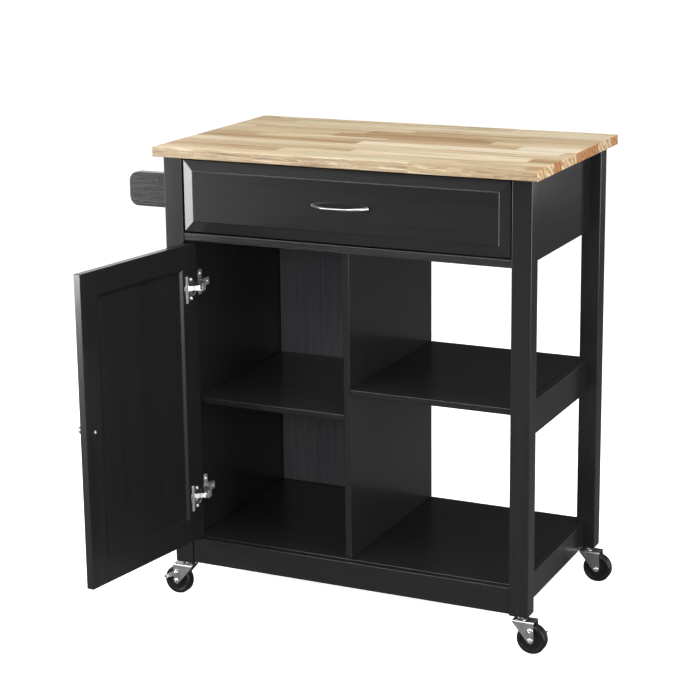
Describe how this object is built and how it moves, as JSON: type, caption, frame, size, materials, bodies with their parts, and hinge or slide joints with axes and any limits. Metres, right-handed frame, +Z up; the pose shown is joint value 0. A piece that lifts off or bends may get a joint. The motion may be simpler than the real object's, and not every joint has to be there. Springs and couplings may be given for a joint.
{
  "type": "kitchen island cart",
  "caption": "Rolling kitchen cart with a butcher-block top, a wide drawer, a cupboard with a framed door, open side shelves, a towel bar and swivel casters.",
  "frame": {"origin": "on the floor under the middle of the cart's box, with the door open and the drawer shut", "axes": "+X to the cart's right, +Y to its back, +Z up"},
  "size_m": [0.8432, 0.7538, 0.895],
  "materials": {
    "butcher_block": "oiled light hardwood staves",
    "black_paint": "satin black paint on wood",
    "drawer_box": "black painted board",
    "zinc": "bright zinc plate",
    "satin_chrome": "satin chrome",
    "wheel": "black moulded tread"
  },
  "bodies": {
    "cart": {"tabletop": "butcher_block", "leg_front_left": "black_paint", "leg_front_right": "black_paint", "leg_back_left": "black_paint", "leg_back_right": "black_paint", "apron_right": "black_paint", "rail_mid_right": "black_paint", "rail_low_right": "black_paint", "apron_back": "black_paint", "rail_low_back": "black_paint", "rail_low_front": "black_paint", "rail_under_drawer": "black_paint", "side_panel_left": "black_paint", "back_panel_left": "black_paint", "divider": "black_paint", "shelf_floor": "black_paint", "shelf_left": "black_paint", "shelf_right": "black_paint", "runner_channel_left": "zinc", "runner_channel_right": "zinc", "towel_bracket_front": "black_paint", "towel_bracket_back": "black_paint", "towel_bar": "black_paint", "caster_stem_front_left": "zinc", "caster_stem_front_right": "zinc", "caster_stem_back_left": "zinc", "caster_stem_back_right": "zinc", "hinge_arm_upper": "zinc", "hinge_arm_lower": "zinc"},
    "drawer": {"drawer_front": "black_paint", "drawer_side_left": "drawer_box", "drawer_side_right": "drawer_box", "drawer_box_front": "drawer_box", "drawer_box_back": "drawer_box", "drawer_bottom": "drawer_box", "runner_bar_left": "zinc", "runner_bar_right": "zinc", "drawer_pull": "satin_chrome"},
    "door": {"door_stile_hinge": "black_paint", "door_stile_free": "black_paint", "door_rail_top": "black_paint", "door_rail_bottom": "black_paint", "door_panel": "black_paint", "door_knob": "satin_chrome", "knob_screw": "satin_chrome", "hinge_cup_upper": "zinc", "hinge_cup_lower": "zinc", "hinge_link_upper": "zinc", "hinge_link_lower": "zinc"},
    "caster_front_left": {"caster_fork_front_left": "zinc"},
    "wheel_front_left": {"caster_wheel_front_left": "wheel"},
    "caster_front_right": {"caster_fork_front_right": "zinc"},
    "wheel_front_right": {"caster_wheel_front_right": "wheel"},
    "caster_back_left": {"caster_fork_back_left": "zinc"},
    "wheel_back_left": {"caster_wheel_back_left": "wheel"},
    "caster_back_right": {"caster_fork_back_right": "zinc"},
    "wheel_back_right": {"caster_wheel_back_right": "wheel"},
    "brake_front_left": {"brake_lever_front_left": "zinc"},
    "brake_front_right": {"brake_lever_front_right": "zinc"}
  },
  "joints": [
    {"name": "drawer_slide", "type": "slide", "parent": "cart", "child": "drawer", "axis": [0, -1, 0], "range_m": [0, 0.28]},
    {"name": "door_swing", "type": "hinge", "parent": "cart", "child": "door", "pos_m": [-0.294, -0.05512, 0.4195], "axis": [0, 0, 1], "range_deg": [-5, 98.4]},
    {"name": "swivel_front_left", "type": "hinge", "parent": "cart", "child": "caster_front_left", "pos_m": [-0.32275, -0.04737, 0.059], "axis": [0, 0, 1], "continuous": true},
    {"name": "roll_front_left", "type": "hinge", "parent": "caster_front_left", "child": "wheel_front_left", "pos_m": [-0.34475, -0.04737, 0.028], "axis": [0, 1, 0], "continuous": true},
    {"name": "swivel_front_right", "type": "hinge", "parent": "cart", "child": "caster_front_right", "pos_m": [0.37175, -0.04737, 0.059], "axis": [0, 0, 1], "continuous": true},
    {"name": "roll_front_right", "type": "hinge", "parent": "caster_front_right", "child": "wheel_front_right", "pos_m": [0.39375, -0.04737, 0.028], "axis": [0, 1, 0], "continuous": true},
    {"name": "swivel_back_left", "type": "hinge", "parent": "cart", "child": "caster_back_left", "pos_m": [-0.32275, 0.33913, 0.059], "axis": [0, 0, 1], "continuous": true},
    {"name": "roll_back_left", "type": "hinge", "parent": "caster_back_left", "child": "wheel_back_left", "pos_m": [-0.34475, 0.33913, 0.028], "axis": [0, 1, 0], "continuous": true},
    {"name": "swivel_back_right", "type": "hinge", "parent": "cart", "child": "caster_back_right", "pos_m": [0.37175, 0.33913, 0.059], "axis": [0, 0, 1], "continuous": true},
    {"name": "roll_back_right", "type": "hinge", "parent": "caster_back_right", "child": "wheel_back_right", "pos_m": [0.39375, 0.33913, 0.028], "axis": [0, 1, 0], "continuous": true},
    {"name": "brake_front_left", "type": "hinge", "parent": "caster_front_left", "child": "brake_front_left", "pos_m": [-0.34475, -0.06237, 0.046], "axis": [0, -1, 0], "range_deg": [0, 18]},
    {"name": "brake_front_right", "type": "hinge", "parent": "caster_front_right", "child": "brake_front_right", "pos_m": [0.39375, -0.03237, 0.046], "axis": [0, 1, 0], "range_deg": [0, 18]}
  ]
}
